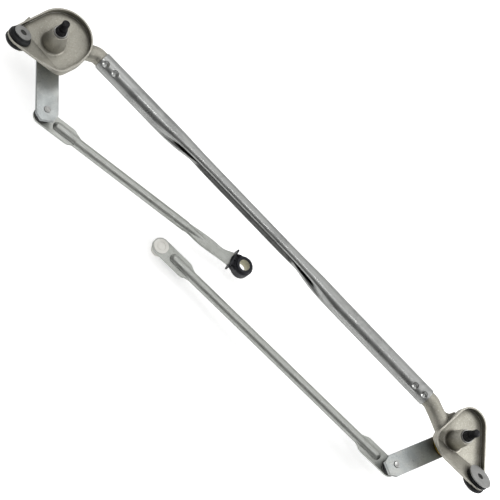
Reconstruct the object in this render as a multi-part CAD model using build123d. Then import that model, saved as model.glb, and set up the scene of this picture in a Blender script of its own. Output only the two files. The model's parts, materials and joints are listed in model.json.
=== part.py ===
from build123d import *
import math
import os

# Wiper linkage for a wide windscreen: a crimped frame tube between two cast pivot brackets, a wiper
# spindle and crank in each bracket, and a ball-jointed link rod from each crank towards the motor.
#
# Sizes are millimetres and degrees. The model is built about the foot of the left spindle, where its
# axis meets the dish floor of the left bracket: +X runs to the right spindle, +Z is up out of the
# brackets, and the links lie on the -Y side. It is written out with the centre of the left spindle's
# thread as origin.

# Layout
PIVOT_SPACING = 718.0
SPLAY = 2.85
TUBE_AXIS_Z = -6.0
LEFT_TUBE_END = (56.7, 37.5)
RIGHT_TUBE_END = (-61.0, 22.6)

# Frame tube
TUBE_R = 12.2
TUBE_WALL = 1.6
PINCH_START = 114.0
PINCH_FULL = 192.0
PINCH_FADE = 328.0
PINCH_END = 404.0
PINCH_R = 11.6
PINCH_DEPTH = 18.0
PINCH_BEND_R = 110.0
PINCH_DIRECTION = 197.0
DIMPLE_R = 4.9
DIMPLE_DEPTH = 2.4
DIMPLE_FIRST = 7.5
DIMPLE_PITCH = 16.5
DIMPLE_DIRECTION = 122.0

# Pivot brackets
FLOOR_T = 4.0
RIM_HEIGHT = 8.0
RIM_WALL = 2.0
BOSS_TOP_Z = 30.0
BOSS_TOP_R = 10.3
BOSS_FILLET = 3.5
LOWER_BOSS_R = 12.0
LOWER_BOSS_Z = -17.0
RIB_T = 3.0
RIB_DEPTH = 7.0
NECK_R = 10.8
NECK_STRAIGHT = 9.0
NECK_BEND_R = 14.0
SPIGOT_LENGTH = 34.0
GUSSET_LOW = -13.0
GUSSET_HIGH = -3.0
GUSSET_CENTRE = (-33.0, 36.5)
GUSSET_R = 12.4
EAR_HOLE_R = 10.0

# Spindles, bushes and washers
SPINDLE_R = 7.5
RUNNING_CLEARANCE = 0.04
FREE_CLEARANCE = 0.4
BUSH_WALL = 1.0
BUSH_LENGTH = 14.0
SEAL_T = 2.2
SEAL_WALL = 1.2
RING_T = 1.2
RING_WALL = 1.5
KNURL_LENGTH = 8.0
KNURL_TIP_R = 6.2
THREAD_R = 5.0
THREAD_LENGTH = 14.0
THREAD_CHAMFER = 1.2
THRUST_T = 1.2
SPINDLE_TAIL_R = 6.0
SWAGE_R = 8.2
SWAGE_T = 1.8

# Cranks and ball studs
CRANK_LENGTH = 82.0
CRANK_WIDTH = 29.0
CRANK_T = 4.0
CRANK_TOP_Z = -20.0
CRANK_TIP = 15.5
CRANK_TIP_WIDTH = 17.0
CRANK_CHAMFER_LENGTH = 9.5
BALL_R = 7.0
BALL_DROP = 10.0
STUD_NECK_R = 4.0
STUD_RIVET_R = 4.6
STUD_RIVET_T = 0.9

# Links
LINK_R = 6.8
LINK_WALL = 1.5
LINK_SEAM = 0.8
PADDLE_T = 3.2
PADDLE_R = 11.8
PADDLE_STRAIGHT = 41.0
PADDLE_NECK = 54.0
NOSE_START = 23.5
SOCKET_R = 9.3
SOCKET_CLEARANCE = 0.3
SOCKET_BACK = 1.2
SOCKET_LIP = 5.0
SOCKET_MOUTH_R = 6.0
SOCKET_FLANGE_R = 10.2
SOCKET_FLANGE_T = 0.5
SOCKET_SHOULDER_T = 1.2
BOOT_R = 10.6
BOOT_WALL = 1.8
BOOT_TOP_R = 9.0
BOOT_CLEARANCE = 1.6

# Black eye at the motor end of the left link
EYE_R = 13.2
EYE_TOP_R = 10.8
EYE_HEIGHT = 16.0
EYE_BORE_R = 6.8
EYE_MOUTH_R = 7.5
LINER_WALL = 1.4
LINER_RECESS = 1.2
EYE_RIB_T = 1.4
EYE_FLANGE_OFFSET = 16.2
EYE_FLANGE_T = 2.0
EYE_FLANGE_WIDTH = 29.0
EYE_FLANGE_HEIGHT = 13.0
BLADE_T = 4.6

# Ear grommets
GROMMET_BORE_R = 7.0
SLEEVE_BORE_R = 4.5
SLEEVE_FLANGE_T = 1.6

# Each side's own sizes. "outline" is the set of circles that the dish's edge wraps, as x, y, radius.
SIDES = {
    "left": {
        "foot": (0.0, 0.0),
        "splay": -SPLAY,
        "outline": [(3.0, 13.5, 39.0), (5.0, 4.0, 37.0), (19.0, -15.0, 18.5), (-32.5, -33.0, 15.5)],
        "boss_base_r": 15.0,
        "crease": (0.0, -19.6, -7.0),
        "ear_tilt": 28.0,
        "ear": (-32.5, -33.5),
        "crank_angle": -50.6,
        "link_angle": 8.91,
        "link_length": 317.7,
        "link_drop": 0.0,
        "shaft_offset": -0.8,
        "shaft_skew": -0.4,
        "thrust_r": 13.5,
        "grommet_r": 15.5,
        "grommet_upper": 7.6,
        "grommet_lower": 7.0,
        "flange_r": 11.7,
        "flare": 1.6,
        "flare_reach": 34.0,
    },
    "right": {
        "foot": (PIVOT_SPACING, 0.0),
        "splay": SPLAY,
        "outline": [(5.0, 33.6, 23.4), (-3.0, -8.0, 23.0), (2.0, -13.0, 22.5), (51.5, -21.5, 15.0)],
        "boss_base_r": 12.5,
        "crease": (20.0, -8.0, 8.0),
        "ear_tilt": 31.0,
        "ear": (51.5, -21.5),
        "crank_angle": -116.4,
        "link_angle": 178.65,
        "link_length": 406.2,
        "link_drop": 22.0,
        "shaft_offset": 0.0,
        "shaft_skew": 0.0,
        "thrust_r": 17.5,
        "grommet_r": 16.8,
        "grommet_upper": 5.6,
        "grommet_lower": 7.0,
        "flange_r": 17.6,
        "flare": 1.15,
        "flare_reach": 40.0,
    },
}

# Worked out from the sizes above
KNURL_Z = BOSS_TOP_Z + RING_T + FREE_CLEARANCE
THREAD_Z = KNURL_Z + KNURL_LENGTH
TIP_Z = THREAD_Z + THREAD_LENGTH
SPIGOT_R = TUBE_R - TUBE_WALL
BUSH_R = SPINDLE_R + RUNNING_CLEARANCE + BUSH_WALL
CRANK_BOTTOM_Z = CRANK_TOP_Z - CRANK_T
BALL_Z = CRANK_BOTTOM_Z - BALL_DROP
SOCKET_BOTTOM = BALL_R + SOCKET_CLEARANCE + SOCKET_BACK
PAD_OFFSET = SOCKET_BOTTOM - SOCKET_FLANGE_T - PADDLE_T / 2
BIG = 400.0
UP = (Align.CENTER, Align.CENTER, Align.MIN)
DOWN = (Align.CENTER, Align.CENTER, Align.MAX)


def cylinder(radius, low, high):
    """A round post about Z between two heights."""
    return Pos(0, 0, low) * Cylinder(radius, high - low, align=UP)


def ring(outer, inner, low, high):
    """A round tube about Z between two heights."""
    return cylinder(outer, low, high) - cylinder(inner, low - 1, high + 1)


def cone(low_radius, high_radius, low, high):
    """A cone frustum about Z between two heights."""
    return Pos(0, 0, low) * Cone(low_radius, high_radius, high - low, align=UP)


def prism(sketch, low, high):
    """A sketch in the XY plane drawn up between two heights."""
    return Pos(0, 0, low) * extrude(sketch, high - low)


def hull(circles, inset=0.0):
    """The outline that a belt round a set of circles has."""
    return make_hull([Pos(x, y) * Edge.make_circle(r - inset) for x, y, r in circles])


def pivot_frame(side):
    """The place of one spindle: its foot, with Z along the spindle's axis."""
    x, y = side["foot"]
    return Pos(x, y, 0) * Rot(0, side["splay"], 0)


def ear_plane(side):
    """The sloping facet that carries the ear, in the pivot's own frame."""
    x, y, angle = side["crease"]
    return Pos(x, y, 0) * Rot(0, 0, angle) * Rot(-side["ear_tilt"], 0, 0)


def ear_frame(side):
    """The grommet's place: on the ear's upper face, with Z along the grommet."""
    plane = ear_plane(side)
    x, y = side["ear"]
    normal = Plane(plane).z_dir
    base = Plane(plane).origin
    z = -(normal.X * (x - base.X) + normal.Y * (y - base.Y)) / normal.Z
    return Pos(x, y, z) * Rot(0, 0, side["crease"][2]) * Rot(-side["ear_tilt"], 0, 0)


def tube_ends():
    """The centres of the frame tube's two ends."""
    left = Vector(LEFT_TUBE_END[0], LEFT_TUBE_END[1], TUBE_AXIS_Z)
    right = Vector(PIVOT_SPACING + RIGHT_TUBE_END[0], RIGHT_TUBE_END[1], TUBE_AXIS_Z)
    return left, right


def tube_frame():
    """The frame tube's place: its left end, with X along the tube."""
    left, right = tube_ends()
    along = right - left
    return Pos(*left) * Rot(0, 0, math.degrees(math.atan2(along.Y, along.X)))


def tube_length():
    left, right = tube_ends()
    return (right - left).length


def pinch_bar(grown):
    """The bent bar that presses the groove into the tube, grown by the wall for the tube's inside."""
    clear = TUBE_R + PINCH_R + TUBE_WALL
    deep = TUBE_R + PINCH_R - PINCH_DEPTH
    corners = [
        (PINCH_START, 0, clear),
        (PINCH_FULL, 0, deep),
        (PINCH_FADE, 0, deep),
        (PINCH_END, 0, clear),
    ]
    path = FilletPolyline(*corners, radius=PINCH_BEND_R)
    bar = sweep(Plane(origin=path @ 0, z_dir=path % 0) * Circle(PINCH_R + grown), path=path)
    return Rot(PINCH_DIRECTION - 90.0, 0, 0) * bar


def dimple_places():
    """The centres of the crimp dimples, in the tube's frame, on its outer face."""
    end = tube_length()
    runs = [DIMPLE_FIRST, DIMPLE_FIRST + DIMPLE_PITCH]
    distances = runs + [end - s for s in runs]
    reach = TUBE_R + DIMPLE_R - DIMPLE_DEPTH
    for s in distances:
        for side in (0.0, 180.0):
            angle = math.radians(DIMPLE_DIRECTION + side)
            yield Pos(s, reach * math.cos(angle), reach * math.sin(angle))


def make_frame_tube():
    end = tube_length()
    outer = Rot(0, 90, 0) * cylinder(TUBE_R, 0, end)
    inner = Rot(0, 90, 0) * cylinder(SPIGOT_R, -1, end + 1) - pinch_bar(TUBE_WALL)
    tube = outer - pinch_bar(0.0) - inner
    pressed = [place * Sphere(DIMPLE_R + TUBE_WALL) for place in dimple_places()]
    tube += (Part() + pressed) & outer
    for place in dimple_places():
        tube -= place * Sphere(DIMPLE_R)
    return tube_frame() * tube


def make_neck(name, side):
    """The spigot inside the tube's end and the bent neck from it to the dish."""
    left, right = tube_ends()
    inward = (right - left).normalized()
    end = left
    if name == "right":
        inward = -inward
        end = right
    x, y = side["foot"]
    root = Vector(x, y, TUBE_AXIS_Z) + Vector(12.0, 14.0, 0.0)
    if name == "right":
        root = Vector(x, y, TUBE_AXIS_Z) + Vector(-12.0, 4.0, 0.0)
    bend = end - inward * NECK_STRAIGHT
    path = FilletPolyline(end, bend, root, radius=NECK_BEND_R)
    neck = sweep(Plane(origin=end, z_dir=-inward) * Circle(NECK_R), path=path)
    spigot_place = Plane(origin=end, z_dir=inward).location
    spigot = spigot_place * cylinder(SPIGOT_R, -1.0, SPIGOT_LENGTH)
    for place in dimple_places():
        spigot -= tube_frame() * place * Sphere(DIMPLE_R + TUBE_WALL)
    towards = (root - bend).normalized()
    flare_start = bend + towards * 14.0
    flare_end = bend + towards * side["flare_reach"]
    flare = loft(
        [
            Plane(origin=flare_start, x_dir=towards.cross(Vector(0, 0, 1)), z_dir=towards) * Circle(NECK_R),
            Plane(origin=flare_end, x_dir=towards.cross(Vector(0, 0, 1)), z_dir=towards)
            * Ellipse(NECK_R * side["flare"], NECK_R),
        ]
    )
    return neck + flare + spigot


def make_gusset():
    """The right neck's web: it rounds out the corner between the neck and the dish."""
    corners = [(-37.0, 20.0), (-37.0, 24.6), (-20.4, 34.8), (-12.0, 34.0), (-8.0, 16.0)]
    web = prism(make_face(Polyline(*corners, close=True)), GUSSET_LOW, GUSSET_HIGH)
    return web - Pos(GUSSET_CENTRE[0], GUSSET_CENTRE[1]) * cylinder(GUSSET_R, -BIG / 10, BIG / 10)


def boss_profile(side):
    """Half the section of the boss: a long cone above the floor and a short one below it."""
    base = side["boss_base_r"]
    outline = Polyline(
        (base, BOSS_FILLET),
        (BOSS_TOP_R, BOSS_TOP_Z),
        (0, BOSS_TOP_Z),
        (0, LOWER_BOSS_Z),
        (LOWER_BOSS_R, LOWER_BOSS_Z),
        (LOWER_BOSS_R + 2, -FLOOR_T),
        (base + BOSS_FILLET, -FLOOR_T),
        (base + BOSS_FILLET, 0),
    )
    lead = math.sqrt(0.5)
    centre = (base + BOSS_FILLET, BOSS_FILLET)
    middle = (centre[0] - BOSS_FILLET * lead, centre[1] - BOSS_FILLET * lead)
    fillet_arc = ThreePointArc((base + BOSS_FILLET, 0), middle, (base, BOSS_FILLET))
    return Plane.XZ * make_face(outline + fillet_arc)


def make_bracket(name, side):
    """A cast dish with a rim, a boss for the spindle, a sloping ear and a neck to the tube."""
    place = pivot_frame(side)
    facet = ear_plane(side)
    above = Box(BIG, BIG, BIG, align=UP)
    below = Box(BIG, BIG, BIG, align=DOWN)
    outline = hull(side["outline"])
    plate = prism(outline, -20.0, 40.0) & (Pos(0, 0, -FLOOR_T) * above)
    plate = plate & (facet * Pos(0, 0, -FLOOR_T) * above)
    plate = plate & ((Pos(0, 0, RIM_HEIGHT) * below) + facet * below)
    pocket = prism(hull(side["outline"], RIM_WALL), -1.0, 60.0)
    pocket = pocket & above & (facet * above)
    ribs = []
    for angle in (20.0, 92.0, 164.0, 236.0):
        rib = Pos(0, 0, -FLOOR_T) * Box(70, RIB_T, RIB_DEPTH, align=(Align.MIN, Align.CENTER, Align.MAX))
        ribs.append(Rot(0, 0, angle) * rib)
    ribs = (Part() + ribs) & prism(hull(side["outline"], RIM_WALL + 8.0), -20.0, 0.0)
    casting = place * (plate + ribs) + make_neck(name, side)
    if name == "right":
        casting += place * make_gusset()
    casting -= place * pocket
    casting += place * revolve(boss_profile(side), Axis.Z)
    ear = ear_frame(side)
    reach = max(side["grommet_r"], side["flange_r"]) + FREE_CLEARANCE
    casting -= place * ear * cylinder(reach, 0.0, 40.0)
    casting -= place * ear * cylinder(EAR_HOLE_R, -20.0, 20.0)
    casting -= place * cylinder(side["thrust_r"] + FREE_CLEARANCE, LOWER_BOSS_Z - 20.0, LOWER_BOSS_Z)
    casting -= place * cylinder(SPINDLE_R + FREE_CLEARANCE, LOWER_BOSS_Z - 1, BOSS_TOP_Z + 1)
    casting -= place * cylinder(BUSH_R, LOWER_BOSS_Z - 1, LOWER_BOSS_Z + BUSH_LENGTH)
    casting -= place * cylinder(BUSH_R, BOSS_TOP_Z - SEAL_T - BUSH_LENGTH, BOSS_TOP_Z + 1)
    casting = casting.solids().sort_by(SortBy.VOLUME)[-1]
    if name == "left":
        lug = Pos(-41.0, -4.0, -FLOOR_T) * Box(5.0, 9.0, FLOOR_T + RIM_HEIGHT - 2.0, align=UP)
        casting += place * (lug - prism(hull(side["outline"], RIM_WALL), -20.0, 40.0))
    return casting


def make_bush(side, low):
    bush = ring(BUSH_R, SPINDLE_R + RUNNING_CLEARANCE, low, low + BUSH_LENGTH)
    return pivot_frame(side) * bush


def make_seal(side):
    """A rubber ring in the mouth of the boss, just clear of the spindle."""
    inner = SPINDLE_R + 0.3
    seal = ring(BUSH_R, inner, BOSS_TOP_Z - SEAL_T, BOSS_TOP_Z)
    return pivot_frame(side) * seal


def make_retaining_ring(side):
    """The clip over the boss that stops the spindle from dropping out."""
    low = BOSS_TOP_Z + FREE_CLEARANCE
    clip = ring(SPINDLE_R + RING_WALL - 0.5, SPINDLE_R - 0.6, low, low + RING_T)
    return pivot_frame(side) * clip


def make_spindle(side):
    low = BOSS_TOP_Z + FREE_CLEARANCE
    shaft = cylinder(SPINDLE_R, CRANK_TOP_Z, KNURL_Z)
    shaft -= ring(SPINDLE_R + 1, SPINDLE_R - 0.6, low, low + RING_T)
    shaft += cone(SPINDLE_R, KNURL_TIP_R, KNURL_Z, THREAD_Z)
    shaft += cylinder(THREAD_R, THREAD_Z, TIP_Z - THREAD_CHAMFER)
    shaft += cone(THREAD_R, THREAD_R - THREAD_CHAMFER, TIP_Z - THREAD_CHAMFER, TIP_Z)
    shaft += cylinder(SPINDLE_TAIL_R, CRANK_BOTTOM_Z, CRANK_TOP_Z)
    shaft += cone(SWAGE_R - 1, SWAGE_R, CRANK_BOTTOM_Z - SWAGE_T, CRANK_BOTTOM_Z)
    return pivot_frame(side) * shaft


def make_thrust_washer(side):
    high = LOWER_BOSS_Z - FREE_CLEARANCE
    washer = ring(side["thrust_r"], SPINDLE_R, high - THRUST_T, high)
    return pivot_frame(side) * washer


def make_spacer(side):
    """A dark dust washer between the thrust washer and the crank."""
    high = LOWER_BOSS_Z - FREE_CLEARANCE - THRUST_T
    spacer = ring(side["thrust_r"] - 2.0, SPINDLE_R, CRANK_TOP_Z, high)
    return pivot_frame(side) * spacer


def crank_frame(side):
    """The crank's place: on the spindle's axis, with X along the crank."""
    return pivot_frame(side) * Rot(0, 0, side["crank_angle"])


def make_crank(side):
    half = CRANK_WIDTH / 2
    tip = CRANK_LENGTH + CRANK_TIP
    corner = tip - CRANK_CHAMFER_LENGTH
    arm = Polyline(
        (0, -half),
        (corner, -half),
        (tip, -CRANK_TIP_WIDTH / 2),
        (tip, CRANK_TIP_WIDTH / 2),
        (corner, half),
        (0, half),
    )
    hub_end = ThreePointArc((0, half), (-half, 0), (0, -half))
    crank = prism(make_face(arm + hub_end), CRANK_BOTTOM_Z, CRANK_TOP_Z)
    crank = chamfer(crank.faces().sort_by(Axis.Z)[-1].edges(), 0.4)
    crank -= cylinder(SPINDLE_TAIL_R, CRANK_BOTTOM_Z - 1, CRANK_TOP_Z + 1)
    crank -= Pos(CRANK_LENGTH, 0) * cylinder(STUD_NECK_R, CRANK_BOTTOM_Z - 1, CRANK_TOP_Z + 1)
    return crank_frame(side) * crank


def make_ball_stud(side):
    ball = Pos(0, 0, BALL_Z) * Sphere(BALL_R)
    neck = cylinder(STUD_NECK_R, BALL_Z, CRANK_TOP_Z)
    shoulder = cone(STUD_NECK_R, STUD_NECK_R + 1, CRANK_BOTTOM_Z - 1.2, CRANK_BOTTOM_Z)
    head = cone(STUD_RIVET_R, STUD_RIVET_R - 0.7, CRANK_TOP_Z, CRANK_TOP_Z + STUD_RIVET_T)
    dish_r = 12.0
    dish = Pos(0, 0, CRANK_TOP_Z + STUD_RIVET_T + dish_r - 0.45) * Sphere(dish_r)
    stud = ball + neck + shoulder + (head - dish)
    return crank_frame(side) * Pos(CRANK_LENGTH, 0) * stud


def link_frame(side):
    """The link's place: at its crank ball, with X along the link and Z up across it."""
    ball = (crank_frame(side) * Pos(CRANK_LENGTH, 0, BALL_Z)).position
    slope = math.degrees(math.asin(side["link_drop"] / side["link_length"]))
    return Pos(*ball) * Rot(0, 0, side["link_angle"]) * Rot(0, slope, 0)


def link_axis(side):
    """The line through the middle of the link's tube, which its pads carry behind the balls."""
    return link_frame(side) * Pos(0, 0, -PAD_OFFSET)


def motor_ball(side):
    """The place of the motor's ball in the right link's socket."""
    return link_axis(side) * Pos(side["link_length"], 0, -PAD_OFFSET)


def paddle():
    """The flattened end of a link, about its socket: a flat pad, with the tube's nose sunk into it."""
    pad = hull([(0, 0, PADDLE_R), (PADDLE_STRAIGHT, 0, PADDLE_R)])
    taper = hull([(PADDLE_STRAIGHT, 0, PADDLE_R - 0.5), (PADDLE_NECK, 0, LINK_R - 0.3)])
    end = prism(pad + taper, -PADDLE_T / 2, PADDLE_T / 2)
    nose = Pos(NOSE_START, 0, 0) * Sphere(LINK_R)
    nose += Pos(NOSE_START, 0, 0) * Rot(0, 90, 0) * cylinder(LINK_R, 0, PADDLE_NECK - NOSE_START)
    end += nose
    return end - cylinder(SOCKET_R, -BIG / 10, BIG / 10)


def link_shaft(start, stop):
    """The rolled tube between two distances along the link, with its open seam."""
    tube = Rot(0, 90, 0) * cylinder(LINK_R, start, stop)
    tube -= Rot(0, 90, 0) * cylinder(LINK_R - LINK_WALL, start + LINK_R, stop - LINK_R)
    seam = Pos((start + stop) / 2, 0, 0) * Box(stop - start - 4 * LINK_R, LINK_R + 2, LINK_SEAM, align=(
        Align.CENTER, Align.MIN, Align.CENTER))
    return tube, seam


def blade(length):
    """The flattened blade at the motor end of the left link, which the black eye holds."""
    rear = length - 92.0
    upper = [(0.0, 5.6), (16.0, 6.6), (30.0, 7.3), (46.0, 7.0), (60.0, 6.8), (69.0, 10.0), (78.0, 12.2)]
    lower = [(0.0, -5.6), (14.0, -6.4), (26.0, -8.0), (46.0, -8.0), (62.0, -7.5), (78.0, -7.4)]
    upper = [(rear + x, y) for x, y in upper]
    lower = [(rear + x, y) for x, y in reversed(lower)]
    outline = Spline(*upper) + Line(upper[-1], lower[0]) + Spline(*lower) + Line(lower[-1], upper[0])
    flat = prism(make_face(outline), -BLADE_T / 2, BLADE_T / 2)
    taper = Pos(rear, 0, 0) * Rot(0, 90, 0) * cone(LINK_R, 1.6, 0, 40.0)
    return flat + taper


def shaft_place(side):
    """The shaft's own line along the link, a little off the line between its two joints."""
    return Pos(0, side["shaft_offset"], 0) * Rot(0, 0, side["shaft_skew"])


def make_link(name, side):
    length = side["link_length"]
    if name == "left":
        motor_end = shaft_place(side) * blade(length)
        stop = length - 90.0
    else:
        motor_end = Pos(length, 0, 0) * Rot(0, 0, 180) * paddle()
        stop = length - PADDLE_NECK + 2.0
    tube, seam = link_shaft(PADDLE_NECK - 2.0, stop)
    link = paddle() + shaft_place(side) * tube + motor_end
    seam_side = -1 if name == "left" else 1
    link -= shaft_place(side) * Rot(-20.0 * seam_side, 0, 0) * scale(seam, by=(1, seam_side, 1))
    return link_axis(side) * link


def socket():
    """A moulded ball socket that opens upwards, about the ball's centre, held in the pad's hole."""
    pad_bottom = -PAD_OFFSET - PADDLE_T / 2
    pad_top = -PAD_OFFSET + PADDLE_T / 2
    cup = cylinder(SOCKET_R, -SOCKET_BOTTOM, SOCKET_LIP)
    cup += cylinder(SOCKET_FLANGE_R, -SOCKET_BOTTOM, pad_bottom)
    cup += cylinder(SOCKET_FLANGE_R, pad_top, pad_top + SOCKET_SHOULDER_T)
    cup -= Sphere(BALL_R + SOCKET_CLEARANCE)
    cup -= cone(SOCKET_MOUTH_R - 0.6, SOCKET_MOUTH_R + 0.6, SOCKET_LIP - 2.5, SOCKET_LIP + 0.5)
    return cup


def make_crank_socket(side):
    return link_frame(side) * socket()


def boot():
    """The rubber dust boot round the socket, from its shoulder to just under the crank."""
    low = -PAD_OFFSET + PADDLE_T / 2 + SOCKET_SHOULDER_T
    high = BALL_DROP - BOOT_CLEARANCE
    outer = cylinder(BOOT_R, low, 0) + cone(BOOT_R, BOOT_TOP_R, 0, high)
    inner = cylinder(SOCKET_R, low - 1, SOCKET_LIP)
    inner += cylinder(BOOT_TOP_R - BOOT_WALL, SOCKET_LIP, high + 1)
    return outer - inner


def make_boot(side):
    return link_frame(side) * boot()


def make_motor_socket(side):
    """The white socket at the right link's motor end, which opens downwards."""
    cap = Rot(180, 0, 0) * socket()
    groove = ring(5.9, 5.1, SOCKET_BOTTOM - 0.3, SOCKET_BOTTOM + 1)
    return motor_ball(side) * (cap - groove)


def make_eye(side):
    length = side["link_length"]
    half = EYE_HEIGHT / 2
    body = cylinder(EYE_R, -half, half - 4.0) + cone(EYE_R, EYE_TOP_R, half - 4.0, half - 2.5)
    body += cylinder(EYE_TOP_R, half - 2.5, half)
    arm = hull([(0, 0, EYE_R - 1.0), (-EYE_FLANGE_OFFSET + 9.0, 0, EYE_R - 1.4)])
    body += prism(arm, -half + 3.0, half - 5.0)
    for y in (-8.0, 0.0, 8.0):
        rib = Pos(-EYE_FLANGE_OFFSET + 6.0, y, -half + 2.0) * Box(12.0, EYE_RIB_T, EYE_HEIGHT - 5.0, align=UP)
        body += rib
    flange = Pos(-EYE_FLANGE_OFFSET, 0, 0) * Box(EYE_FLANGE_T, EYE_FLANGE_WIDTH, EYE_FLANGE_HEIGHT)
    body += chamfer(flange.edges().filter_by(Axis.X), 1.2)
    body -= cylinder(EYE_BORE_R + LINER_WALL, -EYE_HEIGHT, half - LINER_RECESS)
    body -= cylinder(EYE_MOUTH_R, half - LINER_RECESS - 1, EYE_HEIGHT)
    body = Pos(length, 0, 0) * body
    return link_axis(side) * (body - shaft_place(side) * blade(length))


def make_liner(side):
    half = EYE_HEIGHT / 2
    liner = ring(EYE_BORE_R + LINER_WALL, EYE_BORE_R, -half, half - LINER_RECESS)
    return link_axis(side) * Pos(side["link_length"], 0, 0) * liner


def grommet_place(side):
    return pivot_frame(side) * ear_frame(side)


def make_grommet(side):
    """A rubber spool through the ear, with a groove round its upper flange."""
    outer = side["grommet_r"]
    upper = side["grommet_upper"]
    lower = side["grommet_lower"]
    spool = cylinder(outer, 0, upper) + cylinder(EAR_HOLE_R, -FLOOR_T, 0)
    spool += cone(outer - 2.5, outer, -FLOOR_T - lower, -FLOOR_T - lower + 2.5)
    spool += cylinder(outer, -FLOOR_T - lower + 2.5, -FLOOR_T)
    spool -= ring(outer + 1, outer - 1.4, upper * 0.42, upper * 0.62)
    spool -= cylinder(GROMMET_BORE_R, -40, 40)
    return grommet_place(side) * spool


def make_sleeve(side):
    """The steel sleeve through a grommet, with a flange on top."""
    top = side["grommet_upper"]
    low = -FLOOR_T - side["grommet_lower"]
    sleeve = cylinder(GROMMET_BORE_R, low, top) + cylinder(side["flange_r"], top, top + SLEEVE_FLANGE_T)
    return grommet_place(side) * (sleeve - cylinder(SLEEVE_BORE_R, -40, 40))


def build():
    nodes = {"frame_tube": make_frame_tube()}
    for name, side in SIDES.items():
        nodes[name + "_pivot_bracket"] = make_bracket(name, side)
        nodes[name + "_upper_bush"] = make_bush(side, BOSS_TOP_Z - SEAL_T - BUSH_LENGTH)
        nodes[name + "_lower_bush"] = make_bush(side, LOWER_BOSS_Z)
        nodes[name + "_spindle_seal"] = make_seal(side)
        nodes[name + "_grommet"] = make_grommet(side)
        nodes[name + "_grommet_sleeve"] = make_sleeve(side)
        nodes[name + "_spindle"] = make_spindle(side)
        nodes[name + "_retaining_ring"] = make_retaining_ring(side)
        nodes[name + "_thrust_washer"] = make_thrust_washer(side)
        nodes[name + "_dust_washer"] = make_spacer(side)
        nodes[name + "_crank_arm"] = make_crank(side)
        nodes[name + "_ball_stud"] = make_ball_stud(side)
        nodes[name + "_link_rod"] = make_link(name, side)
        nodes[name + "_crank_socket"] = make_crank_socket(side)
        nodes[name + "_dust_boot"] = make_boot(side)
    nodes["left_motor_eye"] = make_eye(SIDES["left"])
    nodes["left_motor_liner"] = make_liner(SIDES["left"])
    nodes["right_motor_socket"] = make_motor_socket(SIDES["right"])
    return nodes


def main():
    os.makedirs("parts", exist_ok=True)
    thread_middle = (THREAD_Z + TIP_Z - THREAD_CHAMFER) / 2
    origin = (pivot_frame(SIDES["left"]) * Pos(0, 0, thread_middle)).position
    to_origin = Pos(-origin.X, -origin.Y, -origin.Z)
    for node, shape in build().items():
        export_step(to_origin * shape, f"parts/{node}.step")


main()
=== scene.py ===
import bmesh
import bpy
import json
import math
from mathutils import Matrix, Vector


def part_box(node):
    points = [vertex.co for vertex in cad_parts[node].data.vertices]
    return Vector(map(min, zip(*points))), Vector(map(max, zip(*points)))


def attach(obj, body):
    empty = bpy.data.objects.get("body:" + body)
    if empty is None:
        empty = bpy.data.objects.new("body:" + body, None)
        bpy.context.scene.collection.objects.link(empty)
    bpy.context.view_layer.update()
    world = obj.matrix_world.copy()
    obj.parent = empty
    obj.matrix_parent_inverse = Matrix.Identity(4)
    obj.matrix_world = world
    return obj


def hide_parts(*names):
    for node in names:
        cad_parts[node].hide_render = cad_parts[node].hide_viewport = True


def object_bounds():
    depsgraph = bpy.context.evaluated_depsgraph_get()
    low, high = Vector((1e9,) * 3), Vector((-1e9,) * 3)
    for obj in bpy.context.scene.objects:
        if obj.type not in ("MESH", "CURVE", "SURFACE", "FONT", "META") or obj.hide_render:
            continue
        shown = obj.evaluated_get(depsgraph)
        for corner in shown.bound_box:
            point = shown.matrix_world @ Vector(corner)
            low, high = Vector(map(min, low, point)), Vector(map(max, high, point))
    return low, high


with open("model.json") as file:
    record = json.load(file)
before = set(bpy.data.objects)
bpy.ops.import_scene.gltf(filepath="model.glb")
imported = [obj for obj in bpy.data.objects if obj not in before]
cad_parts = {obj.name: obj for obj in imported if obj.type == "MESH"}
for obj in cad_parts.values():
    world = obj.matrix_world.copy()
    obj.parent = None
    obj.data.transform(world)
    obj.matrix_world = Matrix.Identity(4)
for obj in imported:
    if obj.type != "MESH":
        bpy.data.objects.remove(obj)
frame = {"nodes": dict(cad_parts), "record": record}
cad_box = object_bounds()

# ---------------------------------------------------------------- camera and stage
VIEW_AZIMUTH = -11.26      # degrees round from looking along +Y, towards -X
VIEW_ELEVATION = 56.8
VIEW_ROLL = 54.26          # the frame tube runs down across the picture
VIEW_DISTANCE = 2.15
LENS_MM = 122.7
SENSOR_MM = 36.0
CLIP_START = 0.05
AIM_OFFSET = Vector((-0.0029, -0.0117, -0.0459))   # from midway between the two studs
SKY_DARK = 0.12
SKY_BRIGHT = 0.92
SKY_AIM = (0.25, 0.45, 0.86)       # where the surroundings are brightest
SKY_RISE = (0.2, 1.0)              # how far towards there, as a cosine, they start and stop brightening
FLOOR_SIZE = 12.0
FLOOR_GAP = 0.0005                 # under the object
FLOOR_COLOR = (0.90, 0.90, 0.90)
FLOOR_GLOW = 0.50
LIGHTS = (                 # name, metres from the object's middle, width and length, watts
    ("key", (1.55, 0.85, 1.00), (0.7, 0.7), 21),
    ("strip", (-0.20, -0.45, 2.05), (1.8, 0.05), 4.5),
    ("fill", (-0.90, 0.95, 1.80), (1.0, 1.0), 5),
)
RANGE_SOCKETS = ("From Min", "From Max", "To Min", "To Max")


def spindle_middle():
    """The point midway between the centres of the two studs' threads."""
    mounts = {m["name"]: m for m in frame["record"]["mounts"]}
    left = Vector(mounts["left_arm_stud"]["pos_m"])
    right = Vector(mounts["right_arm_stud"]["pos_m"])
    return (left + right) / 2


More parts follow.
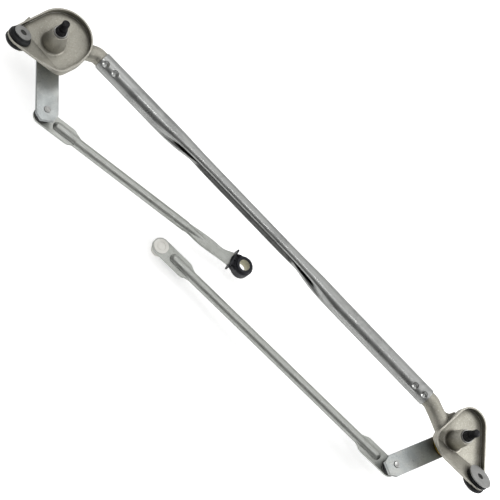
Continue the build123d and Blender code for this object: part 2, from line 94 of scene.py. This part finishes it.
def make_camera():
    """A long lens aimed near the middle of the linkage, rolled so that the tube runs down to the right."""
    azimuth = math.radians(VIEW_AZIMUTH)
    elevation = math.radians(VIEW_ELEVATION)
    roll = math.radians(VIEW_ROLL)
    back = Vector((
        math.sin(azimuth) * math.cos(elevation),
        -math.cos(azimuth) * math.cos(elevation),
        math.sin(elevation),
    ))
    level = Vector((math.cos(azimuth), math.sin(azimuth), 0))
    upright = back.cross(level)
    right = math.cos(roll) * level + math.sin(roll) * upright
    up = -math.sin(roll) * level + math.cos(roll) * upright
    camera = bpy.data.objects.new("camera", bpy.data.cameras.new("camera"))
    bpy.context.scene.collection.objects.link(camera)
    place = Matrix((right, up, back)).transposed().to_4x4()
    place.translation = spindle_middle() + AIM_OFFSET + VIEW_DISTANCE * back
    camera.matrix_world = place
    camera.data.lens = LENS_MM
    camera.data.sensor_width = SENSOR_MM
    camera.data.clip_start = CLIP_START
    bpy.context.scene.camera = camera


def make_light(name, location, target, size, power):
    """A rectangular light aimed at the target, with its first side along X."""
    light = bpy.data.objects.new(name, bpy.data.lights.new(name, "AREA"))
    light.data.shape = "RECTANGLE"
    light.data.size, light.data.size_y = size
    light.data.energy = power
    light.location = location
    inward = (Vector(target) - Vector(location)).normalized()
    across = inward.cross(Vector((1, 0, 0))).normalized()
    along = inward.cross(across)
    light.rotation_euler = Matrix((along, across, -inward)).transposed().to_euler()
    bpy.context.scene.collection.objects.link(light)


def make_sky():
    """A studio's surroundings: bright overhead and behind, falling away from there."""
    world = bpy.data.worlds.new("world")
    world.use_nodes = True
    tree = world.node_tree
    sky = tree.nodes["Background"]
    sky.inputs["Color"].default_value = (1, 1, 1, 1)
    coords = tree.nodes.new("ShaderNodeTexCoord")
    aim = tree.nodes.new("ShaderNodeVectorMath")
    aim.operation = "DOT_PRODUCT"
    aim.inputs[1].default_value = SKY_AIM
    rise = tree.nodes.new("ShaderNodeMapRange")
    rise.interpolation_type = "SMOOTHSTEP"
    for name, number in zip(RANGE_SOCKETS, (*SKY_RISE, SKY_DARK, SKY_BRIGHT)):
        rise.inputs[name].default_value = number
    tree.links.new(coords.outputs["Generated"], aim.inputs[0])
    tree.links.new(aim.outputs["Value"], rise.inputs["Value"])
    tree.links.new(rise.outputs["Result"], sky.inputs["Strength"])
    bpy.context.scene.world = world


def make_stage():
    """A glowing white floor just under the object, the surroundings and the lights."""
    low, high = (Vector(v) for v in cad_box)
    mid = (low + high) / 2
    bpy.ops.mesh.primitive_plane_add(size=FLOOR_SIZE, location=(mid.x, mid.y, low.z - FLOOR_GAP))
    floor = bpy.context.object
    floor.name = "floor"
    paper = Shade("paper", FLOOR_COLOR, 0.95, specular=0.1)
    paper.shader.inputs["Emission Color"].default_value = (1, 1, 1, 1)
    paper.shader.inputs["Emission Strength"].default_value = FLOOR_GLOW
    floor.data.materials.append(paper.done())
    make_sky()
    bpy.context.scene.view_settings.view_transform = "Standard"
    for name, offset, size, power in LIGHTS:
        make_light(name, mid + Vector(offset), mid, size, power)


# ---------------------------------------------------------------- materials
RIM_TINT = (0.35, 0.35, 0.35)      # how much the metals mirror where they turn away


class Shade:
    """One node material, built up from procedural layers in the part's own metres."""

    def __init__(self, name, color, roughness, metallic=0.0, specular=0.5):
        self.material = bpy.data.materials.new(name)
        self.material.use_nodes = True
        self.tree = self.material.node_tree
        self.shader = self.tree.nodes["Principled BSDF"]
        self.shader.inputs["Base Color"].default_value = (*color, 1)
        self.shader.inputs["Roughness"].default_value = roughness
        self.shader.inputs["Metallic"].default_value = metallic
        self.shader.inputs["Specular IOR Level"].default_value = specular
        if metallic:
            self.shader.inputs["Specular Tint"].default_value = (*RIM_TINT, 1)
        self.coords = self.add("ShaderNodeTexCoord").outputs["Object"]
        self.color = None
        self.normal = None
        self.base = color

    def add(self, kind):
        return self.tree.nodes.new(kind)

    def join(self, source, target):
        self.tree.links.new(source, target)

    def stretched(self, stretch):
        mapping = self.add("ShaderNodeMapping")
        mapping.inputs["Scale"].default_value = stretch
        self.join(self.coords, mapping.inputs["Vector"])
        return mapping.outputs["Vector"]

    def noise(self, scale, detail=4.0, rough=0.55, distortion=0.0, vector=None):
        texture = self.add("ShaderNodeTexNoise")
        texture.inputs["Scale"].default_value = scale
        texture.inputs["Detail"].default_value = detail
        texture.inputs["Roughness"].default_value = rough
        texture.inputs["Distortion"].default_value = distortion
        self.join(vector or self.coords, texture.inputs["Vector"])
        return texture.outputs["Fac"]

    def spread(self, value, low, high, to_low=0.0, to_high=1.0):
        """The part of a value between low and high, spread over a new range."""
        node = self.add("ShaderNodeMapRange")
        node.interpolation_type = "SMOOTHSTEP"
        for name, number in zip(RANGE_SOCKETS, (low, high, to_low, to_high)):
            node.inputs[name].default_value = number
        self.join(value, node.inputs["Value"])
        return node.outputs["Result"]

    def maths(self, kind, first, second):
        node = self.add("ShaderNodeMath")
        node.operation = kind
        for socket, value in zip(node.inputs, (first, second)):
            if isinstance(value, (int, float)):
                socket.default_value = value
            else:
                self.join(value, socket)
        return node.outputs["Value"]

    def tint(self, mask, color):
        """Lays a colour over what is there already, where the mask is high."""
        node = self.add("ShaderNodeMix")
        node.data_type = "RGBA"
        node.inputs["A"].default_value = (*self.base, 1)
        node.inputs["B"].default_value = (*color, 1)
        if self.color:
            self.join(self.color, node.inputs["A"])
        self.join(mask, node.inputs["Factor"])
        self.color = node.outputs["Result"]

    def bump(self, height, distance, strength=1.0):
        node = self.add("ShaderNodeBump")
        node.inputs["Distance"].default_value = distance
        node.inputs["Strength"].default_value = strength
        self.join(height, node.inputs["Height"])
        if self.normal:
            self.join(self.normal, node.inputs["Normal"])
        self.normal = node.outputs["Normal"]

    def soften(self, radius):
        """Rounds sharp edges a little, as a bevel of this radius would."""
        node = self.add("ShaderNodeBevel")
        node.samples = 6
        node.inputs["Radius"].default_value = radius
        self.normal = node.outputs["Normal"]

    def edges(self, radius, low=0.02, high=0.25):
        """A mask of the edges, where rounding them by this radius turns the surface most; the materials
        lighten their edges with it, part wear, part painted highlight.
        """
        bevel = self.add("ShaderNodeBevel")
        bevel.samples = 6
        bevel.inputs["Radius"].default_value = radius
        geometry = self.add("ShaderNodeNewGeometry")
        dot = self.add("ShaderNodeVectorMath")
        dot.operation = "DOT_PRODUCT"
        self.join(bevel.outputs["Normal"], dot.inputs[0])
        self.join(geometry.outputs["Normal"], dot.inputs[1])
        return self.spread(self.maths("SUBTRACT", 1.0, dot.outputs["Value"]), low, high)

    def painted_crevice_shade(self, reach, low=0.25, high=0.85):
        """A mask of the places that other surfaces within reach close in on, where the materials paint
        shade.
        """
        node = self.add("ShaderNodeAmbientOcclusion")
        node.samples = 8
        node.inputs["Distance"].default_value = reach
        return self.spread(node.outputs["AO"], low, high, 1.0, 0.0)

    def from_axis(self, low, high):
        """A mask of the places nearer than low to the piece's own X axis, gone by high."""
        flat = self.add("ShaderNodeVectorMath")
        flat.operation = "MULTIPLY"
        flat.inputs[1].default_value = (0, 1, 1)
        self.join(self.coords, flat.inputs[0])
        reach = self.add("ShaderNodeVectorMath")
        reach.operation = "LENGTH"
        self.join(flat.outputs["Vector"], reach.inputs[0])
        return self.spread(reach.outputs["Value"], low, high, 1.0, 0.0)

    def rough(self, value):
        self.join(value, self.shader.inputs["Roughness"])

    def done(self):
        if self.color:
            self.join(self.color, self.shader.inputs["Base Color"])
        if self.normal:
            self.join(self.normal, self.shader.inputs["Normal"])
        return self.material


def cast_alloy():
    """Raw die-cast alloy: warm grey, sandy, cloudy, with painted shade in its corners and lighter edges,
    part rubbed wear, part painted highlight.
    """
    s = Shade("cast_alloy", (0.40, 0.385, 0.335), 0.50, metallic=0.6)
    clouds = s.noise(34, 5, 0.6, 0.4)
    s.tint(s.spread(clouds, 0.42, 0.66, 0.0, 0.75), (0.52, 0.505, 0.445))
    s.tint(s.spread(s.noise(11, 3, 0.5), 0.48, 0.70, 0.0, 0.65), (0.28, 0.268, 0.228))
    s.tint(s.spread(s.noise(160, 5, 0.7, 0.8), 0.55, 0.70, 0.0, 0.5), (0.23, 0.22, 0.185))
    grain = s.noise(1100, 3, 0.7)
    s.tint(s.spread(grain, 0.54, 0.68, 0.0, 0.6), (0.15, 0.142, 0.115))
    s.tint(s.spread(s.noise(800, 2, 0.6), 0.54, 0.70, 0.0, 0.6), (0.70, 0.68, 0.60))
    # painted shade: darkened where other surfaces close in, as occlusion would
    s.tint(s.painted_crevice_shade(0.014, 0.35, 0.95), (0.10, 0.094, 0.076))
    # lighter edges: part rubbed wear, part painted highlight
    s.tint(s.edges(0.0009, 0.03, 0.3), (0.80, 0.79, 0.74))
    s.rough(s.spread(clouds, 0.3, 0.7, 0.40, 0.58))
    s.soften(0.0004)
    s.bump(s.noise(420, 4, 0.6), 0.00030, 0.6)
    s.bump(grain, 0.00018, 0.7)
    return s.done()


def zinc_tube():
    """Drawn tube with a cool zinc coat: drawn streaks, spangle, dark scuffs and painted shade inside the
    fold.
    """
    s = Shade("zinc_tube", (0.40, 0.405, 0.395), 0.30, metallic=0.9)
    along = s.stretched((6, 150, 150))
    streaks = s.noise(9, 4, 0.6, vector=along)
    s.tint(s.spread(streaks, 0.4, 0.7, 0.0, 0.7), (0.46, 0.468, 0.46))
    blotch = s.noise(26, 5, 0.65, 1.0)
    s.tint(s.spread(blotch, 0.52, 0.68, 0.0, 0.6), (0.27, 0.275, 0.27))
    s.tint(s.spread(s.noise(700, 3, 0.6), 0.6, 0.72, 0.0, 0.55), (0.20, 0.20, 0.195))
    # lighter edges: part wear, part painted highlight
    s.tint(s.edges(0.0008), (0.66, 0.67, 0.66))
    # painted shade: near-black close to the tube's axis, inside the fold
    s.tint(s.from_axis(0.0056, 0.0068), (0.008, 0.008, 0.0075))
    s.rough(s.spread(s.noise(60, 5, 0.6), 0.3, 0.7, 0.25, 0.40))
    s.soften(0.0005)
    s.bump(streaks, 0.00010, 0.5)
    s.bump(s.noise(320, 3, 0.6), 0.00008, 0.5)
    return s.done()


def zinc_link():
    """Rolled link rod: dull greenish zinc, rougher than the frame tube, with dark specks."""
    s = Shade("zinc_link", (0.42, 0.432, 0.405), 0.40, metallic=0.8)
    streaks = s.noise(8, 4, 0.6, vector=s.stretched((8, 130, 130)))
    s.tint(s.spread(streaks, 0.4, 0.7, 0.0, 0.65), (0.54, 0.55, 0.525))
    s.tint(s.spread(s.noise(45, 5, 0.65, 0.8), 0.5, 0.7, 0.0, 0.6), (0.33, 0.34, 0.315))
    s.tint(s.spread(s.noise(900, 2, 0.5), 0.62, 0.72, 0.0, 0.7), (0.09, 0.085, 0.075))
    # painted shade: darkened where other surfaces close in, as occlusion would
    s.tint(s.painted_crevice_shade(0.006, 0.3, 0.8), (0.07, 0.07, 0.062))
    # lighter edges: part wear, part painted highlight
    s.tint(s.edges(0.0007), (0.56, 0.57, 0.55))
    s.rough(s.spread(s.noise(80, 5, 0.6), 0.3, 0.7, 0.32, 0.50))
    s.soften(0.0004)
    s.bump(s.noise(260, 4, 0.6), 0.00014, 0.6)
    return s.done()


def zinc_crank():
    """Bright zinc plate: bluish and buff clouds, fine rolling grain and nicks."""
    s = Shade("zinc_crank", (0.345, 0.365, 0.362), 0.38, metallic=0.85)
    s.tint(s.spread(s.noise(22, 5, 0.6, 1.4), 0.44, 0.64, 0.0, 0.8), (0.40, 0.405, 0.385))
    s.tint(s.spread(s.noise(14, 3, 0.5, 0.6), 0.5, 0.7, 0.0, 0.55), (0.24, 0.275, 0.29))
    s.tint(s.spread(s.noise(75, 5, 0.7), 0.56, 0.7, 0.0, 0.5), (0.24, 0.25, 0.25))
    s.tint(s.spread(s.noise(900, 2, 0.6), 0.54, 0.72, 0.0, 0.55), (0.58, 0.595, 0.595))
    s.tint(s.spread(s.noise(700, 2, 0.6), 0.56, 0.70, 0.0, 0.5), (0.17, 0.18, 0.185))
    # painted shade: darkened where other surfaces close in, as occlusion would
    s.tint(s.painted_crevice_shade(0.008, 0.2, 0.7), (0.07, 0.08, 0.085))
    # lighter edges: part wear, part painted highlight
    s.tint(s.edges(0.0007), (0.78, 0.79, 0.78))
    s.rough(s.spread(s.noise(50, 5, 0.6), 0.3, 0.7, 0.30, 0.48))
    s.soften(0.0004)
    s.bump(s.noise(700, 3, 0.6), 0.00007, 0.6)
    return s.done()


def black_steel():
    """Black oxide on the spindles: almost black, with greyer crests, part wear, part painted highlight."""
    s = Shade("black_steel", (0.012, 0.012, 0.013), 0.38, metallic=0.5)
    s.tint(s.spread(s.noise(300, 4, 0.6), 0.5, 0.7, 0.0, 0.6), (0.03, 0.03, 0.032))
    # greyer crests: part wear, part painted highlight
    s.tint(s.edges(0.0003, 0.05, 0.5), (0.10, 0.10, 0.105))
    s.rough(s.spread(s.noise(180, 4, 0.6), 0.3, 0.7, 0.30, 0.5))
    s.bump(s.noise(900, 3, 0.6), 0.00006, 0.6)
    return s.done()


def bright_steel():
    """Machined steel: bright, with fine turned lines and a few dull patches."""
    s = Shade("bright_steel", (0.38, 0.38, 0.37), 0.36, metallic=0.9)
    s.tint(s.spread(s.noise(130, 4, 0.6, 0.5), 0.48, 0.68, 0.0, 0.6), (0.28, 0.28, 0.275))
    s.tint(s.spread(s.noise(1300, 2, 0.6), 0.58, 0.72, 0.0, 0.4), (0.55, 0.55, 0.54))
    s.rough(s.spread(s.noise(240, 4, 0.6), 0.3, 0.7, 0.32, 0.50))
    s.soften(0.0003)
    s.bump(s.noise(800, 3, 0.5), 0.00005, 0.5)
    return s.done()


def black_rubber():
    """Moulded rubber: matt, slightly paler on the crests, part dust, part painted highlight."""
    s = Shade("black_rubber", (0.009, 0.0098, 0.010), 0.62, specular=0.3)
    s.tint(s.spread(s.noise(90, 5, 0.6), 0.5, 0.7, 0.0, 0.6), (0.022, 0.023, 0.024))
    # paler crests: part dust, part painted highlight
    s.tint(s.edges(0.0006, 0.05, 0.5), (0.045, 0.046, 0.047))
    s.rough(s.spread(s.noise(150, 4, 0.6), 0.3, 0.7, 0.5, 0.75))
    s.soften(0.0005)
    s.bump(s.noise(1100, 3, 0.6), 0.00008, 0.7)
    return s.done()


def moulded(name, color, shade, roughness, specular=0.5):
    """Moulded plastic: cloudy, finely textured, paler on its edges, part wear, part painted highlight."""
    s = Shade(name, color, roughness, specular=specular)
    s.tint(s.spread(s.noise(120, 5, 0.6), 0.45, 0.7, 0.0, 0.7), shade)
    pale = [min(1.0, c * 1.15 + 0.01) for c in color]
    # paler edges: part wear, part painted highlight
    s.tint(s.edges(0.0005, 0.05, 0.5), pale)
    s.rough(s.spread(s.noise(200, 4, 0.6), 0.3, 0.7, roughness - 0.08, roughness + 0.1))
    s.soften(0.0004)
    s.bump(s.noise(900, 3, 0.6), 0.00006, 0.6)
    return s.done()


def washer_metal(name, color, shade):
    """Plated or sintered metal in a colour, clouded with a darker shade."""
    s = Shade(name, color, 0.36, metallic=0.85)
    s.tint(s.spread(s.noise(160, 4, 0.6, 0.6), 0.45, 0.68, 0.0, 0.75), shade)
    s.rough(s.spread(s.noise(240, 4, 0.6), 0.3, 0.7, 0.28, 0.48))
    s.soften(0.0003)
    s.bump(s.noise(900, 3, 0.6), 0.00005, 0.6)
    return s.done()


def make_materials():
    """One material for each material slot of the record."""
    return {
        "cast_alloy": cast_alloy(),
        "zinc_tube": zinc_tube(),
        "zinc_link": zinc_link(),
        "zinc_crank": zinc_crank(),
        "black_steel": black_steel(),
        "bright_steel": bright_steel(),
        "black_rubber": black_rubber(),
        "black_plastic": moulded("black_plastic", (0.007, 0.008, 0.012), (0.015, 0.017, 0.023), 0.48, 0.35),
        "ivory_nylon": moulded("ivory_nylon", (0.52, 0.50, 0.36), (0.62, 0.59, 0.46), 0.42),
        "white_nylon": moulded("white_nylon", (0.74, 0.73, 0.68), (0.80, 0.79, 0.75), 0.40),
        "bronze": washer_metal("bronze", (0.45, 0.32, 0.15), (0.33, 0.24, 0.12)),
        "yellow_zinc": washer_metal("yellow_zinc", (0.62, 0.42, 0.08), (0.50, 0.36, 0.12)),
    }


def dress_nodes(materials):
    """Gives each CAD node the material of its slot in the record."""
    for row in frame["record"]["subparts"]:
        node = frame["nodes"][row["node"]]
        node.data.materials.clear()
        node.data.materials.append(materials[row["material_slot"]])


# ---------------------------------------------------------------- detailed pieces
MM = 0.001
ROUND = 96                 # points round a grommet
FINE_ROUND = 144           # points round a spindle or the frame tube


def smoothstep(value, low, high):
    """0 below low, 1 above high, and a smooth rise between them."""
    t = min(1.0, max(0.0, (value - low) / (high - low)))
    return t * t * (3 - 2 * t)


def skin(name, rings, closed=False):
    """A mesh through rings of points in millimetres, capped at both ends, or closed round to the first."""
    mesh = bpy.data.meshes.new(name)
    count = len(rings[0])
    points = [[c * MM for c in point] for ring in rings for point in ring]
    spans = len(rings) if closed else len(rings) - 1
    faces = []
    for i in range(spans):
        here = i * count
        there = ((i + 1) % len(rings)) * count
        for j in range(count):
            k = (j + 1) % count
            faces.append((here + j, here + k, there + k, there + j))
    if not closed:
        faces.append(tuple(reversed(range(count))))
        faces.append(tuple(range((len(rings) - 1) * count, len(rings) * count)))
    mesh.from_pydata(points, [], faces)
    bm = bmesh.new()
    bm.from_mesh(mesh)
    bmesh.ops.recalc_face_normals(bm, faces=bm.faces)
    bm.to_mesh(mesh)
    bm.free()
    mesh.shade_smooth()
    piece = bpy.data.objects.new(name, mesh)
    bpy.context.scene.collection.objects.link(piece)
    return piece


def sharpen(piece, angle):
    """Splits the shading where faces meet at more than an angle, in degrees."""
    bm = bmesh.new()
    bm.from_mesh(piece.data)
    for edge in bm.edges:
        edge.smooth = edge.calc_face_angle(math.pi) < math.radians(angle)
    bm.to_mesh(piece.data)
    bm.free()


def stand_in(piece, node, place, material_slot, materials):
    """Puts a detailed piece where a CAD node is, and hides that node."""
    body = next(name for name, row in frame["record"]["behaviour"]["bodies"].items() if node in row)
    piece.matrix_world = place
    piece.data.materials.append(materials[material_slot])
    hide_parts(node)
    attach(piece, body)


def mount_place(name):
    """A mount's place, with Z along its axis."""
    mount = next(m for m in frame["record"]["mounts"] if m["name"] == name)
    turn = Vector((0, 0, 1)).rotation_difference(Vector(mount["axis"])).to_matrix().to_4x4()
    return Matrix.Translation(mount["pos_m"]) @ turn


def circle_ring(radius, z):
    """A round row of points at a height."""
    steps = [math.tau * i / FINE_ROUND for i in range(FINE_ROUND)]
    return [(radius * math.cos(a), radius * math.sin(a), z) for a in steps]


# Spindle: heights from the middle of its thread, in millimetres
SHAFT_R = 7.5
THREAD_R = 5.0
THREAD_PITCH = 1.5
THREAD_DEPTH = 0.75
THREAD_TOP = 6.4
TIP_TOP = 7.37
KNURL_TOP = -6.4
KNURL_BOTTOM = -14.4
KNURL_TOP_R = 6.2
KNURL_TEETH = 36
KNURL_DEPTH = 0.45
TAIL_TOP = -66.0
TAIL_BOTTOM = -70.0
TAIL_R = 6.0
SHAFT_MIDDLE = -30.0
SWAGE_R = 8.2
SWAGE_BOTTOM = -71.8
TIP_CHAMFER = 1.2
THREAD_ROWS = 84
KNURL_ROWS = 16


def thread_ring(z):
    """A row of points across the helical thread, drawn in at the tip."""
    ring = []
    for i in range(FINE_ROUND):
        angle = math.tau * i / FINE_ROUND
        phase = (z / THREAD_PITCH - i / FINE_ROUND) % 1.0
        crest = abs(2 * phase - 1)
        depth = THREAD_DEPTH * smoothstep(crest, 0.12, 0.88)
        radius = THREAD_R - depth - TIP_CHAMFER * smoothstep(z, THREAD_TOP, TIP_TOP)
        ring.append((radius * math.cos(angle), radius * math.sin(angle), z))
    return ring


def knurl_ring(z):
    """A row of points across the taper's ridges, which fade out at both ends of it."""
    ring = []
    share = (z - KNURL_BOTTOM) / (KNURL_TOP - KNURL_BOTTOM)
    radius = SHAFT_R + (KNURL_TOP_R - SHAFT_R) * share
    fade = smoothstep(share, 0.0, 0.12) * (1 - smoothstep(share, 0.94, 1.0))
    for i in range(FINE_ROUND):
        angle = math.tau * i / FINE_ROUND
        phase = (i * KNURL_TEETH / FINE_ROUND) % 1.0
        here = radius - KNURL_DEPTH * fade * (1 - abs(2 * phase - 1))
        ring.append((here * math.cos(angle), here * math.sin(angle), z))
    return ring


def make_spindle(side, materials):
    """A black spindle with a screw thread, a serrated taper below it and a swaged tail."""
    rings = [circle_ring(r, z) for r, z in (
        (SWAGE_R - 1.0, SWAGE_BOTTOM), (SWAGE_R - 0.2, SWAGE_BOTTOM + 0.5), (SWAGE_R, TAIL_BOTTOM),
        (TAIL_R, TAIL_BOTTOM), (TAIL_R, TAIL_TOP), (SHAFT_R, TAIL_TOP), (SHAFT_R, TAIL_TOP + 0.3),
        (SHAFT_R, SHAFT_MIDDLE), (SHAFT_R, KNURL_BOTTOM - 0.4),
    )]
    taper = KNURL_TOP - KNURL_BOTTOM
    rings += [knurl_ring(KNURL_BOTTOM + taper * i / KNURL_ROWS) for i in range(KNURL_ROWS + 1)]
    rings += [circle_ring(THREAD_R - THREAD_DEPTH - 0.2, KNURL_TOP + 0.05)]
    start = KNURL_TOP + 0.6
    rings += [thread_ring(start + (TIP_TOP - start) * i / THREAD_ROWS) for i in range(THREAD_ROWS + 1)]
    piece = skin(side + "_threaded_spindle", rings)
    sharpen(piece, 35)
    stand_in(piece, side + "_spindle", mount_place(side + "_arm_stud"), "black_steel", materials)


# Grommet: heights from the ear's upper face, in millimetres; the profile runs round the rubber's section
GROMMET_BORE = 7.0
EAR_BORE = 10.0
EAR_T = 4.0
SLEEVE_FLANGE_T = 1.6
RIB_DEPTH = 0.45
RIB_REACH = 3.4            # how far in from the rim the ribs run


def rounded(corners, radius, steps=4):
    """A profile's corners, each rounded by an arc-like curve; corners are (r, z) in order."""
    points = []
    for i, corner in enumerate(corners):
        here = Vector(corner)
        before = Vector(corners[i - 1])
        after = Vector(corners[(i + 1) % len(corners)])
        cut = min(radius, (before - here).length * 0.45, (after - here).length * 0.45)
        first = here + (before - here).normalized() * cut
        last = here + (after - here).normalized() * cut
        for k in range(steps + 1):
            t = k / steps
            points.append((1 - t) ** 2 * first + 2 * t * (1 - t) * here + t * t * last)
    return points


def make_grommet(side, outer, upper, lower, ribs, materials):
    """A rubber spool through the ear: a waisted drum above it and a domed cap below it."""
    bottom = -EAR_T - lower
    profile = rounded([
        (GROMMET_BORE, upper), (outer - 2.6, upper), (outer - 2.2, upper * 0.72),
        (outer - 0.9, upper * 0.58), (outer, upper * 0.40), (outer, 0.0), (EAR_BORE, 0.0),
        (EAR_BORE, -EAR_T), (outer, -EAR_T), (outer, bottom + 3.4), (outer - 3.2, bottom),
        (GROMMET_BORE, bottom),
    ], 0.8)
    rings = []
    for i in range(ROUND):
        angle = math.tau * i / ROUND
        ring = []
        for r, z in profile:
            rib = 0.0
            if ribs and r > outer - RIB_REACH:
                rib = RIB_DEPTH * smoothstep(math.cos(angle * ribs), 0.2, 0.8)
            ring.append(((r - rib) * math.cos(angle), (r - rib) * math.sin(angle), z))
        rings.append(ring)
    piece = skin(side + "_rubber_grommet", rings, closed=True)
    sharpen(piece, 50)
    flange_top = upper + SLEEVE_FLANGE_T
    middle = (flange_top + bottom) / 2
    place = mount_place(side + "_ear_bolt_hole") @ Matrix.Translation((0, 0, -middle * MM))
    stand_in(piece, side + "_grommet", place, "black_rubber", materials)


# Frame tube: distances along it from its left end, in millimetres
TUBE_WALL = 1.6
FOLD_START = 95.0
FOLD_FULL = 200.0
FOLD_FADE = 328.0
FOLD_END = 436.0
FOLD_DIRECTION = 197.0     # degrees round the section, from +Y towards +Z
LIP_MIDDLE = 232.0         # degrees round the fold, where its outer lip rolls in last
LIP_REACH = 46.0
LIP_DELAY = 2.2
FOLD_BULGE = 0.28          # how much the back swells where the fold begins and ends
DIMPLE_FROM_END = (7.5, 24.0)
DIMPLE_DIRECTION = 122.0
DIMPLE_R = 5.0
DIMPLE_PIT_R = 1.6
DIMPLE_DEPTH = 2.5
END_ZONE = 32.0            # the dimpled stretch, which has the closest sections
BEND_MARGIN = 4.0
SHORTEST_STEP = 0.4
END_STEP = 0.7
BEND_STEP = 2.5
STRAIGHT_STEP = 6.0
# The folded section, as degrees round from the back of the fold with how far each point then lies
# out towards the fold's mouth and up across it
FOLDED = (
    (0, -11.6, 0.0), (30, -10.2, 5.4), (60, -6.6, 9.3), (85, -2.0, 10.3), (105, 1.8, 9.1),
    (118, 3.1, 6.8), (130, 1.8, 4.7), (150, -3.0, 3.2), (180, -6.3, 0.0), (210, -4.3, -4.7),
    (230, -0.2, -6.4), (245, 3.4, -7.4), (257, 5.1, -9.0), (270, 3.4, -10.9), (295, -3.0, -11.5),
    (325, -8.8, -7.8), (345, -11.2, -3.0),
)


def folded_point(degrees):
    """A point of the folded section: a smooth closed curve through the named points."""
    count = len(FOLDED)
    for i in range(count):
        start = FOLDED[i][0]
        stop = FOLDED[i + 1][0] if i + 1 < count else 360
        if start <= degrees < stop:
            break
    t = (degrees - start) / (stop - start)
    p0, p1, p2, p3 = (Vector(FOLDED[(i + k) % count][1:]) for k in (-1, 0, 1, 2))
    curve = 2 * p1 + (p2 - p0) * t + (2 * p0 - 5 * p1 + 4 * p2 - p3) * t ** 2
    return (curve + (3 * p1 - p0 - 3 * p2 + p3) * t ** 3) / 2


def tube_section(s, length, radius, wall):
    """The tube's section at a distance along it, drawn in by a wall for its inside."""
    share = smoothstep(s, FOLD_START, FOLD_FULL) * (1 - smoothstep(s, FOLD_FADE, FOLD_END))
    section = []
    for i in range(FINE_ROUND):
        degrees = 360.0 * i / FINE_ROUND
        angle = math.radians(degrees)
        bulge = 1 + FOLD_BULGE * share * (1 - share) * (1 + math.cos(angle)) / 2
        circle = Vector((-radius * math.cos(angle), radius * math.sin(angle))) * bulge
        late = 1 + LIP_DELAY * max(0.0, 1 - ((degrees - LIP_MIDDLE) / LIP_REACH) ** 2)
        section.append(circle.lerp(folded_point(degrees), share ** late))
    if wall:
        drawn = []
        for i in range(FINE_ROUND):
            run = section[(i + 1) % FINE_ROUND] - section[i - 1]
            drawn.append(section[i] + Vector((run.y, -run.x)).normalized() * wall)
        section = drawn
    fold = math.radians(FOLD_DIRECTION)
    out = Vector((math.cos(fold), math.sin(fold)))
    across = Vector((math.sin(fold), -math.cos(fold)))
    ring = []
    for point in section:
        y, z = out * point.x + across * point.y
        pit = 0.0
        for gap in DIMPLE_FROM_END:
            for centre in (gap, length - gap):
                for turn in (0, 180):
                    aim = math.radians(DIMPLE_DIRECTION + turn)
                    arc = math.atan2(z, y) - aim
                    arc = (arc + math.pi) % math.tau - math.pi
                    reach = math.hypot(s - centre, arc * radius)
                    pit = max(pit, DIMPLE_DEPTH * (1 - smoothstep(reach, DIMPLE_PIT_R, DIMPLE_R)))
        shrink = 1 - pit / math.hypot(y, z)
        ring.append((s, y * shrink, z * shrink))
    return ring


def tube_place(node):
    """The tube's left end with X along it, its length and its radius, from the CAD node's own box."""
    low, high = (Vector(v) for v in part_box(node))
    radius = (high.z - low.z) / 2
    yaw = -math.asin((high.y - low.y - 2 * radius) / (high.x - low.x))
    reach_x = radius * math.sin(-yaw)
    reach_y = radius * math.cos(yaw)
    left = Vector((low.x + reach_x, high.y - reach_y, low.z + radius))
    right = Vector((high.x - reach_x, low.y + reach_y, low.z + radius))
    place = Matrix.Translation(left) @ Matrix.Rotation(yaw, 4, "Z")
    return place, (right - left).length / MM, radius / MM


def make_frame_tube(materials):
    """The folded frame tube, with its crimp dimples and its open ends."""
    place, length, radius = tube_place("frame_tube")
    stations = [0.0]
    while stations[-1] < length - SHORTEST_STEP:
        s = stations[-1]
        step = STRAIGHT_STEP
        if FOLD_START - BEND_MARGIN < s < FOLD_FULL or FOLD_FADE - BEND_MARGIN < s < FOLD_END:
            step = BEND_STEP
        if min(s, length - s) < END_ZONE:
            step = END_STEP
        stations.append(min(length, s + step))
    outside = [tube_section(s, length, radius, 0.0) for s in stations]
    inside = [tube_section(s, length, radius, TUBE_WALL) for s in reversed(stations)]
    piece = skin("crimped_frame_tube", outside + inside, closed=True)
    sharpen(piece, 60)
    stand_in(piece, "frame_tube", place, "zinc_tube", materials)


def main():
    make_camera()
    make_stage()
    materials = make_materials()
    dress_nodes(materials)
    make_frame_tube(materials)
    for side in ("left", "right"):
        make_spindle(side, materials)
    make_grommet("left", outer=15.4, upper=7.6, lower=7.0, ribs=0, materials=materials)
    make_grommet("right", outer=16.8, upper=5.6, lower=7.0, ribs=24, materials=materials)


main()
